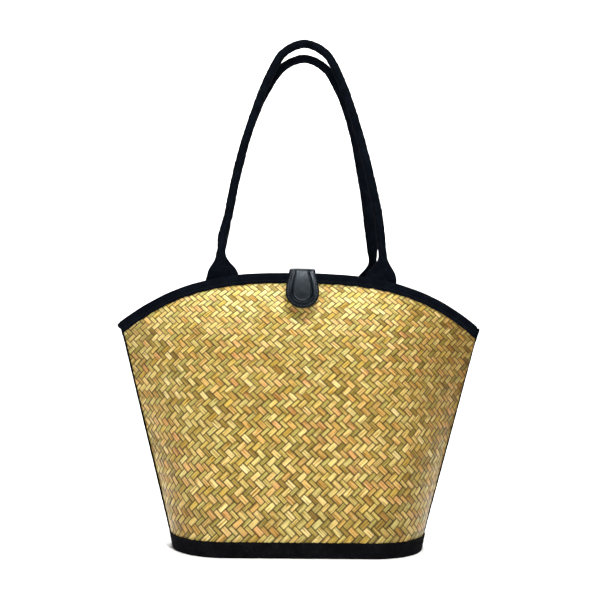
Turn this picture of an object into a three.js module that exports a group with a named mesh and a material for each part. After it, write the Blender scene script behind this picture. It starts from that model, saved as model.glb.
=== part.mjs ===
// A straw basket bag that stands on its oval base: two woven straw walls, bound in black cloth,
// two padded shoulder handles and a leather closing tab with a snap under it.
// Millimetres, +Z up, origin at the centre of the underside, -Y is the front.
import * as THREE from 'three';

// The basket's own shape
const BASE_LENGTH = 276; // the oval foot of the straw walls, seam to seam
const BASE_DEPTH = 122; // front to back; the ends of the oval are half circles
const RIM_SPAN = 417; // seam to seam at the top
const RIM_CENTRE_HEIGHT = 305; // top edge of the straw above the floor
const RIM_END_DROP = 57; // how much lower the rim is at the seams
const RIM_ARCH = 2.75; // power of the rim's curve, 2 is a parabola
const MOUTH_BULGE = 26; // half the open mouth's width at the middle, past the seams' own
const MOUTH_CURVE = 2.65; // power of the mouth's curve seen from above
const BELLY = 2; // above 1 the walls bulge, at 1 they are straight from foot to rim
const STRAW = 2; // thickness of the woven mat

// Cloth and leather
const CLEARANCE = 0.3; // between any two pieces
const BINDING = 1; // thickness of the rim's folded cloth
const BINDING_WIDTH = 11; // how far it reaches down the wall, inside and out
const TAPE = 0.9; // thickness of the tape over the side seams
const TAPE_WIDTH = 1.2; // how far it laps over each wall
const TAPE_BULGE = 0.6; // how far it rounds out past the walls' ends
const BAND = 1.2; // thickness of the webbing round the foot
const BAND_HEIGHT = 16;
const BAND_LIP = 8; // how far the webbing turns under the base

// Handles
const HANDLE_SPACING = 182; // between the two ends of one handle
const HANDLE_RISE = 288; // top of the front handle's middle line above the rim's middle
const BACK_HANDLE_SHORTER = 13;
const BACK_HANDLE_ASIDE = 6; // the back handle is sewn this much further left than the front one
const HANDLE_LEAN = 1.5; // the front one leans this much to the right where it leaves the rim
const HANDLE_WIDTH = 10;
const HANDLE_THICK = 9;
const HANDLE_STANDOFF = 6.5; // from the bag's middle plane to a handle at its top
const FLARE_WIDTH = 38;
const FLARE_HEIGHT = 28;
const PATCH_DEPTH = 36; // the flat end sewn inside the wall
const PATCH_THICK = 2.4;
const PATCH_GAP = STRAW / 2 + CLEARANCE + BINDING + CLEARANCE; // wall's middle to the patch

// Closing tab and its snap
const LEATHER = 3;
const TAB_FOLD_WIDTH = 30;
const TAB_WIDEST = 37.5;
const TAB_FRONT = 44; // how far it hangs down the front wall
const TAB_BACK = 46;
const TAB_CORNER = 2; // cut off the corners of its sewn end
const TAB_RISE = 1.8; // it stands this much further off the rim than off the walls
const TAB_CROWN = 3; // it bows up this much over the open mouth
const TAB_LIFT = 6.5; // its tip stands this much further from the wall than at the rim
const SNAP_DIAMETER = 17;
const SNAP_DOWN = 26; // below the rim, along the wall

const FOOT = BAND + CLEARANCE; // the straw stands on the webbing's lip
const SEAM_GAP = 0.4; // from a wall's end to the bag's middle plane, at the foot
const SEAM_GAP_TOP = STRAW / 2 + 2 * CLEARANCE + BINDING; // room for both bindings

// Stations across a wall from seam to seam, as shares of half its width: few where the foot is
// straight, more round its ends.
const STRAIGHT_STATIONS = 4;
const ROUND_STATIONS = 11;
const END_RADIUS = BASE_DEPTH / 2;
const STRAIGHT_HALF = BASE_LENGTH / 2 - END_RADIUS;
const HALF_FOOT = STRAIGHT_HALF + (END_RADIUS * Math.PI) / 2; // along the outline
const STRAIGHT_SHARE = STRAIGHT_HALF / HALF_FOOT;

function halfStations() {
  const shares = [];
  for (let i = 0; i <= STRAIGHT_STATIONS; i++) {
    shares.push((STRAIGHT_SHARE * i) / STRAIGHT_STATIONS);
  }
  for (let i = 1; i <= ROUND_STATIONS; i++) {
    shares.push(STRAIGHT_SHARE + ((1 - STRAIGHT_SHARE) * i) / ROUND_STATIONS);
  }
  return shares;
}
const HALF_STATIONS = halfStations();
const ACROSS = [...HALF_STATIONS.slice(1).reverse().map((share) => -share), ...HALF_STATIONS];
const UP_STEPS = 10; // between the webbing's top edge and the binding's lower edge

// The oval foot, front half, at share -1 to 1 from the left seam to the right one.
function footPoint(share) {
  const along = Math.abs(share) * HALF_FOOT;
  const side = Math.sign(share);
  if (along <= STRAIGHT_HALF) {
    return { x: side * along, depth: END_RADIUS };
  }
  const turn = (along - STRAIGHT_HALF) / END_RADIUS;
  return {
    x: side * (STRAIGHT_HALF + END_RADIUS * Math.sin(turn)),
    depth: END_RADIUS * Math.cos(turn),
  };
}

// The arched rim, front half.
function rimPoint(share) {
  const out = Math.abs(share);
  return {
    x: (share * RIM_SPAN) / 2,
    depth: MOUTH_BULGE * (1 - out ** MOUTH_CURVE),
    z: RIM_CENTRE_HEIGHT - RIM_END_DROP * out ** RIM_ARCH,
  };
}

// The middle of the front wall's thickness: share runs across, up from 0 at the foot to 1 at the rim.
function middleOfWall(share, up) {
  const foot = footPoint(share);
  const rim = rimPoint(share);
  const inward = Math.max(up, 0) ** BELLY;
  const seamGap = SEAM_GAP + (SEAM_GAP_TOP - SEAM_GAP) * up;
  return new THREE.Vector3(
    foot.x + (rim.x - foot.x) * up,
    -(foot.depth + (rim.depth - foot.depth) * inward + seamGap),
    FOOT + (rim.z - FOOT) * up,
  );
}

const NUDGE = 1e-3; // step for slopes, as a share
function wallSlopes(share, up) {
  const left = Math.max(share - NUDGE, -1);
  const right = Math.min(share + NUDGE, 1);
  const low = Math.max(up - NUDGE, 0);
  const high = up + NUDGE;
  const across = middleOfWall(right, up).sub(middleOfWall(left, up)).divideScalar(right - left);
  const rising = middleOfWall(share, high).sub(middleOfWall(share, low)).divideScalar(high - low);
  return { across, rising };
}

function outwardNormal(share, up) {
  const { across, rising } = wallSlopes(share, up);
  return across.cross(rising).normalize();
}

// A point of the front wall, out from its middle along the normal.
function onWall(share, up, out) {
  return middleOfWall(share, up).addScaledVector(outwardNormal(share, up), out);
}

// How much up changes for 1 mm square to the rim's edge.
function upPerMillimetre(share) {
  const { across, rising } = wallSlopes(share, 1);
  return across.length() / rising.cross(across).length();
}

// A height above the floor as a share of the wall's rise at that place.
function upAtHeight(share, height) {
  return (height - FOOT) / (rimPoint(share).z - FOOT);
}

// A point of the front wall seen square to the rim at home: so far along the rim's edge, so far up
// from it (negative is down the wall), out from the wall's middle.
function besideRim(home, along, rise, out) {
  const { across } = wallSlopes(home, 1);
  const edge = across.normalize();
  const start = middleOfWall(home, 1);
  const x = start.x + edge.x * along - edge.z * rise;
  const z = start.z + edge.z * along + edge.x * rise;
  let share = x / (RIM_SPAN / 2);
  let up = 1;
  for (let n = 0; n < 12; n++) {
    up = upAtHeight(share, z);
    share += (x - middleOfWall(share, up).x) / (RIM_SPAN / 2);
  }
  return onWall(share, up, out);
}

const toBack = (point) => new THREE.Vector3(point.x, -point.y, point.z);

// A box of so many steps along, over and through, each of its corners moved to place(i, j, k).
function formedBox(along, over, through, place) {
  const box = new THREE.BoxGeometry(1, 1, 1, along, over, through);
  const corners = box.getAttribute('position');
  for (let n = 0; n < corners.count; n++) {
    const i = Math.round((corners.getX(n) + 0.5) * along);
    const j = Math.round((corners.getY(n) + 0.5) * over);
    const k = Math.round((corners.getZ(n) + 0.5) * through);
    const point = place(i, j, k);
    corners.setXYZ(n, point.x, point.y, point.z);
  }
  // Each four-cornered face is split along the diagonal that lies further from the bag's upright
  // axis, so that pieces lying on each other are split alike.
  const outness = (p, q) => {
    const x = corners.getX(p) + corners.getX(q);
    const y = corners.getY(p) + corners.getY(q);
    return Math.hypot(x, y);
  };
  for (let n = 0; n < box.index.count; n += 6) {
    const [a, b, d, , c] = [0, 1, 2, 3, 4].map((step) => box.index.getX(n + step));
    if (outness(a, c) > outness(b, d)) {
      [a, b, c, a, c, d].forEach((corner, step) => box.index.setX(n + step, corner));
    }
  }
  box.computeVertexNormals();
  return box;
}

// The back copy of a front piece: mirrored in the bag's middle plane, faces turned round again.
function mirroredToBack(along, over, through, place) {
  return formedBox(along, over, through, (i, j, k) => toBack(place(along - i, j, k)));
}

// Finishes
const straw = new THREE.MeshStandardMaterial({ color: 0xc9b26a, roughness: 0.62, metalness: 0 });
const cloth = new THREE.MeshStandardMaterial({ color: 0x10131c, roughness: 0.9, metalness: 0 });
const leather = new THREE.MeshStandardMaterial({ color: 0x1c222c, roughness: 0.38, metalness: 0 });
const metal = new THREE.MeshStandardMaterial({ color: 0xb8b8b4, roughness: 0.3, metalness: 1 });

const bag = new THREE.Group();
function add(name, geometry, material) {
  const mesh = new THREE.Mesh(geometry, material);
  mesh.name = name;
  bag.add(mesh);
  return mesh;
}

// Straw walls, front and back
function wallPlace(i, j, k) {
  const share = ACROSS[i];
  const low = upAtHeight(share, BAND_HEIGHT);
  const high = 1 - BINDING_WIDTH * upPerMillimetre(share);
  const between = Array.from({ length: UP_STEPS + 1 }, (_, n) => low + ((high - low) * n) / UP_STEPS);
  const rows = [0, ...between, 1];
  const point = onWall(share, rows[j], k ? STRAW / 2 : -STRAW / 2);
  if (j === 0) {
    point.z = FOOT; // cut level at the foot
  }
  return point;
}
const acrossSteps = ACROSS.length - 1;
add('straw_wall_front', formedBox(acrossSteps, UP_STEPS + 2, 1, wallPlace), straw);
add('straw_wall_back', mirroredToBack(acrossSteps, UP_STEPS + 2, 1, wallPlace), straw);

// Straw base: an oval mat inside the foot of the walls
function ovalBase() {
  const radius = END_RADIUS - STRAW / 2 - CLEARANCE;
  const outline = new THREE.Shape();
  outline.moveTo(-STRAIGHT_HALF, -radius);
  outline.lineTo(STRAIGHT_HALF, -radius);
  outline.absarc(STRAIGHT_HALF, 0, radius, -Math.PI / 2, Math.PI / 2, false);
  outline.lineTo(-STRAIGHT_HALF, radius);
  outline.absarc(-STRAIGHT_HALF, 0, radius, Math.PI / 2, (Math.PI * 3) / 2, false);
  const plate = new THREE.ExtrudeGeometry(outline, {
    depth: STRAW,
    bevelEnabled: false,
    curveSegments: ROUND_STATIONS, // the same facets as the walls
  });
  return plate.translate(0, 0, FOOT);
}
add('straw_base', ovalBase(), straw);

// Webbing round the foot: up the wall outside, and a lip turned under the base. Its ends meet at
// the left seam.
const BAND_SECTION = [
  { out: STRAW / 2 + CLEARANCE, height: BAND_HEIGHT, outer: { out: BAND, height: 0 } },
  { out: STRAW / 2 + CLEARANCE, height: BAND * 1.2, outer: { out: BAND, height: -BAND * 0.5 } },
  { out: STRAW / 2 + CLEARANCE / 3, height: BAND, outer: { out: BAND * 0.7, height: -BAND } },
  { out: -BAND_LIP, height: BAND, outer: { out: 0, height: -BAND } },
];
function bandPlace(i, j, k) {
  const onFront = i < ACROSS.length;
  const share = onFront ? ACROSS[i] : ACROSS[2 * ACROSS.length - 1 - i];
  const row = BAND_SECTION[BAND_SECTION.length - 1 - j];
  const out = row.out + (k ? row.outer.out : 0);
  const height = row.height + (k ? row.outer.height : 0);
  const point = onWall(share, Math.max(upAtHeight(share, height), 0), out);
  point.z = height;
  return onFront ? point : toBack(point);
}
add('foot_band', formedBox(2 * ACROSS.length - 1, BAND_SECTION.length - 1, 1, bandPlace), cloth);

// Rim bindings: cloth folded over the wall's top edge, down both faces
const FOLD_STEPS = 4;
const LEG_STEPS = 1;
const BINDING_STEPS = FOLD_STEPS + 2 * LEG_STEPS;
function bindingPlace(i, j, k) {
  const share = ACROSS[i];
  const radius = STRAW / 2 + CLEARANCE + (k ? BINDING : 0);
  const perMillimetre = upPerMillimetre(share);
  if (j < LEG_STEPS) {
    const down = BINDING_WIDTH * (1 - j / LEG_STEPS);
    return onWall(share, 1 - down * perMillimetre, radius);
  }
  if (j > LEG_STEPS + FOLD_STEPS) {
    const down = (BINDING_WIDTH * (j - LEG_STEPS - FOLD_STEPS)) / LEG_STEPS;
    return onWall(share, 1 - down * perMillimetre, -radius);
  }
  const turn = (Math.PI * (j - LEG_STEPS)) / FOLD_STEPS;
  return onWall(share, 1 + radius * Math.sin(turn) * perMillimetre, radius * Math.cos(turn));
}
add('rim_binding_front', formedBox(acrossSteps, BINDING_STEPS, 1, bindingPlace), cloth);
add('rim_binding_back', mirroredToBack(acrossSteps, BINDING_STEPS, 1, bindingPlace), cloth);

// Seam tapes: from the webbing up to the rim, round the walls' ends, over the bindings at the top
const TAPE_ARC_STEPS = 6;
const TAPE_UP_STEPS = 14;
const TAPE_STEP_START = 0.93; // where it begins to climb over the bindings, as a share of the seam
const TAPE_STEP_END = 0.955;
const TAPE_TOP = 1.012; // it stands a little above the rim's end
function tapeInnerGap(up) {
  const climb = THREE.MathUtils.smoothstep(up, TAPE_STEP_START, TAPE_STEP_END);
  return STRAW / 2 + 1.5 * CLEARANCE + climb * (BINDING + CLEARANCE);
}
function tapeUp(j) {
  const start = upAtHeight(1, BAND_HEIGHT + 3 * CLEARANCE);
  const lowerSteps = TAPE_UP_STEPS - 3;
  if (j <= lowerSteps) {
    return start + ((TAPE_STEP_START - start) * j) / lowerSteps;
  }
  return [TAPE_STEP_END, (TAPE_STEP_END + TAPE_TOP) / 2, TAPE_TOP][j - lowerSteps - 1];
}
function tapePlace(i, j, k) {
  const up = tapeUp(j);
  const gap = tapeInnerGap(up) + (k ? TAPE : 0);
  const last = TAPE_ARC_STEPS + 2;
  const edgeShare = 1 - TAPE_WIDTH / middleOfWall(1, up).x;
  if (i === 0) {
    return onWall(edgeShare, up, gap);
  }
  if (i === last) {
    return toBack(onWall(edgeShare, up, gap));
  }
  // An arc that leaves the front wall's end along the wall and lands the same way on the back one
  const end = onWall(1, up, gap);
  const normal = outwardNormal(1, up);
  const radius = end.y / normal.y;
  const widest = Math.atan2(-normal.y, normal.x);
  const turn = widest * (1 - (2 * (i - 1)) / TAPE_ARC_STEPS);
  const roundness = (Math.cos(turn) - Math.cos(widest)) / (1 - Math.cos(widest));
  const bulge = TAPE_BULGE + (k ? TAPE * (1 - Math.abs(normal.x)) : 0);
  return new THREE.Vector3(end.x + bulge * roundness, -radius * Math.sin(turn), end.z);
}
const tapeAlong = TAPE_ARC_STEPS + 2;
const toLeft = (point) => new THREE.Vector3(-point.x, point.y, point.z);
add('seam_tape_right', formedBox(tapeAlong, TAPE_UP_STEPS, 1, tapePlace), cloth);
add(
  'seam_tape_left',
  formedBox(tapeAlong, TAPE_UP_STEPS, 1, (i, j, k) => toLeft(tapePlace(tapeAlong - i, j, k))),
  cloth,
);

// Handles: a padded strap bent into an arch, flaring to a flat patch inside the wall at each end
const ARCH = [
  // up from the rim as a share of the way to the top, out from the middle as a share of half the
  // spacing for the front handle and for the back one, and the front one's share of its lean
  { up: 0.17, front: 1.014, back: 0.991, lean: 0.6 },
  { up: 0.265, front: 0.962, back: 0.945, lean: 1 },
  { up: 0.393, front: 0.89, back: 0.887, lean: 0.3 },
  { up: 0.521, front: 0.801, back: 0.809, lean: 0 },
  { up: 0.649, front: 0.69, back: 0.725, lean: 0 },
  { up: 0.777, front: 0.562, back: 0.6, lean: 0 },
  { up: 0.841, front: 0.484, back: 0.517, lean: 0 },
  { up: 0.937, front: 0.337, back: 0.349, lean: 0 },
  { up: 0.969, front: 0.243, back: 0.25, lean: 0 },
  { up: 0.993, front: 0.112, back: 0.115, lean: 0 },
  { up: 1, front: 0, back: 0, lean: 0 },
];
const FLARE = [
  // up the flare as a share of its height, and its width and thickness from 0, strap, to 1, patch
  { up: 0.14, width: 0.93, thin: 0.95 },
  { up: 0.38, width: 0.74, thin: 0.8 },
  { up: 0.62, width: 0.38, thin: 0.5 },
  { up: 0.82, width: 0.12, thin: 0.2 },
  { up: 1, width: 0, thin: 0 },
];
const mix = THREE.MathUtils.lerp;
const ASIDE_FADE = 1.5; // power by which a handle sewn aside comes back to the middle at its top
const homeFor = (outward) => (HANDLE_SPACING + 2 * outward) / RIM_SPAN; // share across the wall

// Half a handle, as if it were the right half of a front one, from the patch's foot to the top of
// the arch: outward is how far aside it is sewn, and lean how far out it leans. Which is front or
// back, the column of the arch's table.
function handleStations(rise, outward, lean, which) {
  const home = homeFor(outward);
  const inner = -(PATCH_GAP + PATCH_THICK / 2);
  const stations = [];
  const overRim = -(STRAW / 2 + CLEARANCE + BINDING);
  for (const down of [PATCH_DEPTH, PATCH_DEPTH * 0.88, PATCH_DEPTH * 0.5, BINDING_WIDTH, 0, overRim]) {
    const rounding = down === PATCH_DEPTH ? 0.72 : 1;
    stations.push({
      down,
      middle: besideRim(home, 0, -down, inner),
      width: FLARE_WIDTH * rounding,
      thick: PATCH_THICK,
    });
  }
  // From the rim up the flare leans square to the rim's edge, and the handle stands upright
  const start = stations[stations.length - 1].middle;
  const top = RIM_CENTRE_HEIGHT + rise;
  const rimTop = rimPoint(home).z;
  const depthAt = (z) => THREE.MathUtils.mapLinear(z, start.z, top, start.y, -HANDLE_STANDOFF);
  const { across } = wallSlopes(home, 1);
  const slope = -across.z / across.x;
  for (const row of FLARE) {
    const z = start.z + row.up * FLARE_HEIGHT;
    stations.push({
      middle: new THREE.Vector3(start.x + slope * row.up * FLARE_HEIGHT * (1 - row.up / 2), depthAt(z), z),
      width: mix(HANDLE_WIDTH, FLARE_WIDTH, row.width),
      thick: mix(HANDLE_THICK, PATCH_THICK, row.thin),
    });
  }
  const knots = ARCH.map((row) => {
    const z = mix(rimTop, top, row.up);
    const aside = outward * (1 - row.up ** ASIDE_FADE) + lean * row.lean;
    return new THREE.Vector3((HANDLE_SPACING / 2) * row[which] + aside, depthAt(z), z);
  });
  const mirrored = knots.slice(0, -1).reverse().map(toLeft);
  const neck = stations[stations.length - 1].middle;
  const line = [neck, ...knots, ...mirrored, toLeft(neck)];
  const arch = new THREE.CatmullRomCurve3(line, false, 'centripetal');
  const steps = 22;
  for (let n = 1; n <= steps; n++) {
    const left = (1 - n / steps) ** 1.5; // shorter steps near the top
    stations.push({
      middle: arch.getPointAt(0.5 * (1 - left)),
      width: HANDLE_WIDTH,
      thick: HANDLE_THICK,
    });
  }
  return stations;
}

const SECTION_STEPS = 2; // a strap's section is a box of this many steps a side, rounded: 8 sides
function roundedCorner(j, k) {
  const a = (2 * j) / SECTION_STEPS - 1;
  const b = (2 * k) / SECTION_STEPS - 1;
  const length = Math.hypot(a, b) || 1;
  const reach = Math.max(Math.abs(a), Math.abs(b));
  return { over: (a / length) * reach, through: (b / length) * reach };
}

// Seen from the front, the strap's width lies in the arch's plane, square to its middle line.
function handlePlace(halves, i, j, k) {
  const last = halves.right.stations.length - 1;
  const onRight = i >= last;
  const { stations, home } = onRight ? halves.right : halves.left;
  const n = onRight ? 2 * last - i : i;
  const here = stations[n];
  const before = stations[Math.max(n - 1, 0)].middle;
  const after = n === last ? toLeft(stations[last - 1].middle) : stations[n + 1].middle;
  const along = after.clone().sub(before).normalize();
  const facing = new THREE.Vector3(0, -1, 0);
  const over = facing.clone().cross(along).normalize();
  const square = along.clone().cross(over).normalize();
  const corner = roundedCorner(j, k);
  // A flat patch keeps a box's section, a strap a round one
  const flat = THREE.MathUtils.clamp((here.width - HANDLE_WIDTH) / (FLARE_WIDTH - HANDLE_WIDTH), 0, 1);
  const boxOver = (2 * j) / SECTION_STEPS - 1;
  const boxThrough = (2 * k) / SECTION_STEPS - 1;
  if (here.down !== undefined) {
    // The patch lies along the wall's curve
    const side = -(here.width / 2) * boxOver;
    const inner = -(PATCH_GAP + (PATCH_THICK / 2) * (1 - boxThrough));
    const patch = besideRim(home, side, -here.down, inner);
    return onRight ? patch : toLeft(patch);
  }
  const point = here.middle
    .clone()
    .addScaledVector(over, (here.width / 2) * mix(corner.over, boxOver, flat))
    .addScaledVector(square, (here.thick / 2) * mix(corner.through, boxThrough, flat));
  return onRight ? point : toLeft(point);
}
function handleGeometry(rise, aside, onBack) {
  const which = onBack ? 'back' : 'front';
  const lean = onBack ? 0 : HANDLE_LEAN;
  const halves = {
    left: { stations: handleStations(rise, aside, -lean, which), home: homeFor(aside) },
    right: { stations: handleStations(rise, -aside, lean, which), home: homeFor(-aside) },
  };
  const last = halves.right.stations.length - 1;
  // From the left patch over the arch to the right one
  return formedBox(2 * last, SECTION_STEPS, SECTION_STEPS, (i, j, k) => {
    const point = handlePlace(halves, i, onBack ? j : SECTION_STEPS - j, k);
    return onBack ? toBack(point) : point;
  });
}
add('handle_front', handleGeometry(HANDLE_RISE, 0, false), cloth);
add('handle_back', handleGeometry(HANDLE_RISE - BACK_HANDLE_SHORTER, BACK_HANDLE_ASIDE, true), cloth);

// Closing tab: sewn to the back wall, over both rims, down the front
const TAB_OUT = STRAW / 2 + CLEARANCE + BINDING + CLEARANCE; // wall's middle to the tab's underside
const TAB_LOBE = TAB_WIDEST / 2; // its end is a half circle
function tabStations() {
  const stations = [];
  for (const share of [1, 0.93, 0.5, 0.05]) {
    const corner = share === 1 ? TAB_CORNER : 0;
    stations.push({ side: 'back', down: TAB_BACK * share, half: TAB_FOLD_WIDTH / 2 - corner });
  }
  for (const turn of [0, 30, 60]) {
    stations.push({ side: 'back', turn: THREE.MathUtils.degToRad(turn), half: TAB_FOLD_WIDTH / 2 });
  }
  for (const bridge of [0, 0.2, 0.4, 0.6, 0.8, 1]) {
    stations.push({ side: 'front', bridge, half: TAB_FOLD_WIDTH / 2 });
  }
  for (const turn of [60, 30, 0]) {
    stations.push({ side: 'front', turn: THREE.MathUtils.degToRad(turn), half: TAB_FOLD_WIDTH / 2 });
  }
  const straight = TAB_FRONT - TAB_LOBE;
  for (const share of [0.25, 0.5, 0.75, 1]) {
    stations.push({
      side: 'front',
      down: straight * share,
      half: mix(TAB_FOLD_WIDTH / 2, TAB_LOBE, Math.sin((share * Math.PI) / 2)),
    });
  }
  for (const turn of [15, 30, 45, 58, 70, 80, 86]) {
    const angle = THREE.MathUtils.degToRad(turn);
    stations.push({
      side: 'front',
      down: straight + TAB_LOBE * Math.sin(angle),
      half: TAB_LOBE * Math.cos(angle),
    });
  }
  return stations;
}
const TAB_STATIONS = tabStations();
const TAB_ACROSS = 4;
function tabPlace(i, j, k) {
  const station = TAB_STATIONS[j];
  const x = station.half * ((2 * i) / TAB_ACROSS - 1);
  const perMillimetre = upPerMillimetre(0);
  const radius = TAB_OUT + (k ? LEATHER : 0);
  let up = 1;
  let out = radius;
  if (station.bridge !== undefined) {
    // Over the open mouth from the back rim to the front one, a little crowned
    const top = onWall(0, 1 + (radius + TAB_RISE) * perMillimetre, 0);
    const crown = TAB_CROWN * Math.sin(Math.PI * station.bridge);
    return new THREE.Vector3(x, mix(-top.y, top.y, station.bridge), top.z + crown);
  }
  if (station.turn !== undefined) {
    up = 1 + (radius + TAB_RISE) * Math.sin(station.turn) * perMillimetre;
    out = radius * Math.cos(station.turn);
  } else {
    up = 1 - station.down * perMillimetre;
    const lift = station.side === 'front' ? TAB_LIFT * (station.down / TAB_FRONT) ** 1.3 : 0;
    out = radius + lift;
  }
  const point = onWall(0, up, out);
  point.x = x;
  return station.side === 'back' ? toBack(point) : point;
}
const tabAlong = TAB_STATIONS.length - 1;
add('closing_tab', formedBox(TAB_ACROSS, tabAlong, 1, (i, j, k) => tabPlace(i, j, 1 - k)), leather);

// Snap between the front wall and the tab, one plain piece
function snapGeometry() {
  const up = 1 - SNAP_DOWN * upPerMillimetre(0);
  const lift = TAB_LIFT * (SNAP_DOWN / TAB_FRONT) ** 1.3;
  const from = STRAW / 2 + CLEARANCE;
  const slope = (TAB_LIFT / TAB_FRONT) * SNAP_DIAMETER * 0.6; // the tab is nearer at the snap's top
  const to = TAB_OUT + lift - CLEARANCE - slope;
  const disc = new THREE.CylinderGeometry(SNAP_DIAMETER / 2, SNAP_DIAMETER / 2, to - from, 24);
  const facing = outwardNormal(0, up);
  disc.applyQuaternion(new THREE.Quaternion().setFromUnitVectors(new THREE.Vector3(0, 1, 0), facing));
  const middle = onWall(0, up, (from + to) / 2);
  return disc.translate(middle.x, middle.y, middle.z);
}
add('snap', snapGeometry(), metal);

export default bag;
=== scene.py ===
from math import pi, radians

import bmesh
import bpy
import numpy as np
from numpy import (arange, array, clip, concatenate, cos, cross, exp, hypot, interp, linspace,
                   ones_like, sin, sqrt, stack, vstack, where, zeros_like)
from mathutils import Matrix, Vector


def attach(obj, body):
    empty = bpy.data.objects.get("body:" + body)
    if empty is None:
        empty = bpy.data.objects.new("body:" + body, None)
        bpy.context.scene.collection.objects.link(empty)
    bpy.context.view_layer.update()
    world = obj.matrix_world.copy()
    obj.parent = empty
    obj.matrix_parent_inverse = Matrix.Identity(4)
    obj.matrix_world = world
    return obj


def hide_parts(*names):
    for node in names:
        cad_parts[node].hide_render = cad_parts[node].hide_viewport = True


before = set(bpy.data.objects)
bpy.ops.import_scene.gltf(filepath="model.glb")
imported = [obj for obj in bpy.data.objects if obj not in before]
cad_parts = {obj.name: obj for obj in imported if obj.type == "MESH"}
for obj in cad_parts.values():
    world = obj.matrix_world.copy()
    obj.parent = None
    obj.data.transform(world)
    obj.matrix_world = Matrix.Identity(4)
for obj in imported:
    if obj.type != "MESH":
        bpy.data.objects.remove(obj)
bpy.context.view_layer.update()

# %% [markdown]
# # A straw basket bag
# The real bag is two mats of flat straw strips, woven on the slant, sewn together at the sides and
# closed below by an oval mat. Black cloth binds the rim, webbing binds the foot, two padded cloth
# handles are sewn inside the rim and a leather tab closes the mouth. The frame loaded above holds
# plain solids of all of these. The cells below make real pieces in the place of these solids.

MM = 0.001
BASE_LENGTH, BASE_DEPTH = 276.0, 122.0
RIM_SPAN, RIM_CENTRE_HEIGHT, RIM_END_DROP, RIM_ARCH = 417.0, 305.0, 57.0, 2.75
MOUTH_BULGE, MOUTH_CURVE, BELLY = 26.0, 2.65, 2.0
STRAW, CLEARANCE = 2.0, 0.3
BINDING, BINDING_WIDTH = 1.0, 11.0
TAPE, TAPE_WIDTH, TAPE_BULGE = 0.9, 1.2, 0.6
BAND, BAND_HEIGHT, BAND_LIP = 1.2, 16.0, 8.0
FOOT = BAND + CLEARANCE
SEAM_GAP, SEAM_GAP_TOP = 0.4, STRAW / 2 + 2 * CLEARANCE + BINDING
END_RADIUS = BASE_DEPTH / 2
STRAIGHT_HALF = BASE_LENGTH / 2 - END_RADIUS
HALF_FOOT = STRAIGHT_HALF + END_RADIUS * pi / 2
ANY_PHASE = 6.28  # random shifts of a wave lie between 0 and this
SIDES = ((1, "front"), (-1, "back"))


def clamp(value):
    return clip(value, 0, 1)


def mix(first, second, share):
    return first + (second - first) * share


def hill(place, middle, width):
    """A smooth hump, 1 high at its middle."""
    return exp(-((place - middle) / width) ** 2)


def round_off(share):
    """The drop of a quarter round of radius 1, from 0 at its top to 1 at its side."""
    return 1 - sqrt(1 - share ** 2)


def unit(vectors):
    return vectors / np.linalg.norm(vectors, axis=-1, keepdims=True)


def run_along(points):
    """The length of a line of points up to each of them."""
    return concatenate([[0.0], np.cumsum(np.linalg.norm(np.diff(points, axis=0), axis=-1))])


# %% [markdown]
# ## The shape of the straw wall
# The foot of the wall follows an oval, the rim is a lens with an arched top, and every upright line
# of the wall runs from one to the other. A place on the wall has two shares: how far across from
# seam to seam, and how far up from foot to rim. One formula then gives the wall for every piece
# that lies on it, so cloth, straw and stitches all meet.

# %% The wall's formula
def foot_point(share):
    along = np.abs(share) * HALF_FOOT
    turn = clip((along - STRAIGHT_HALF) / END_RADIUS, 0.0, None)
    x = where(turn > 0, STRAIGHT_HALF + END_RADIUS * sin(turn), along)
    return np.sign(share) * x, END_RADIUS * cos(turn)


def rim_point(share):
    out = np.abs(share)
    return (share * RIM_SPAN / 2, MOUTH_BULGE * (1 - out ** MOUTH_CURVE),
            RIM_CENTRE_HEIGHT - RIM_END_DROP * out ** RIM_ARCH)


def wall_middle(share, up):
    foot_x, foot_depth = foot_point(share)
    rim_x, rim_depth, rim_z = rim_point(share)
    inward = clip(up, 0.0, None) ** BELLY
    gap = SEAM_GAP + (SEAM_GAP_TOP - SEAM_GAP) * up
    depth = foot_depth + (rim_depth - foot_depth) * inward + gap
    return stack([foot_x + (rim_x - foot_x) * up, -depth, FOOT + (rim_z - FOOT) * up], axis=-1)


NUDGE = 1e-3  # step for slopes, as a share


def wall_slopes(share, up):
    left, right = clip(share - NUDGE, -1, 1), clip(share + NUDGE, -1, 1)
    low, high = clip(up - NUDGE, 0, None), up + NUDGE
    across = (wall_middle(right, up) - wall_middle(left, up)) / (right - left)[..., None]
    rising = (wall_middle(share, high) - wall_middle(share, low)) / (high - low)[..., None]
    return across, rising


def wall_normal(share, up):
    across, rising = wall_slopes(share, up)
    return unit(cross(across, rising))


def on_wall(share, up, out):
    share, up, out = np.broadcast_arrays(*(np.asarray(n, float) for n in (share, up, out)))
    return wall_middle(share, up) + wall_normal(share, up) * out[..., None]


def up_per_millimetre(share):
    across, rising = wall_slopes(np.asarray(share, float), ones_like(share, float))
    lean = np.linalg.norm(cross(rising, across), axis=-1)
    return np.linalg.norm(across, axis=-1) / lean


def up_at_height(share, height):
    return (height - FOOT) / (rim_point(share)[2] - FOOT)


SEARCH_STEPS = 12


def beside_rim(home, along, rise, out):
    """A place seen square to the rim at home: along its edge, up from it, out from the wall."""
    home = np.asarray(home, float)
    across, _ = wall_slopes(home, ones_like(home))
    edge = unit(across)
    start = wall_middle(home, ones_like(home))
    x = start[..., 0] + edge[..., 0] * along - edge[..., 2] * rise
    z = start[..., 2] + edge[..., 2] * along + edge[..., 0] * rise
    share = x / (RIM_SPAN / 2)
    for _ in range(SEARCH_STEPS):
        up = up_at_height(share, z)
        share = share + (x - wall_middle(share, up)[..., 0]) / (RIM_SPAN / 2)
    return on_wall(share, up, out)


def on_side(points, side):
    """Front is side 1; side -1 mirrors a piece to the back of the bag."""
    return points * array([1.0, side, 1.0])


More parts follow.
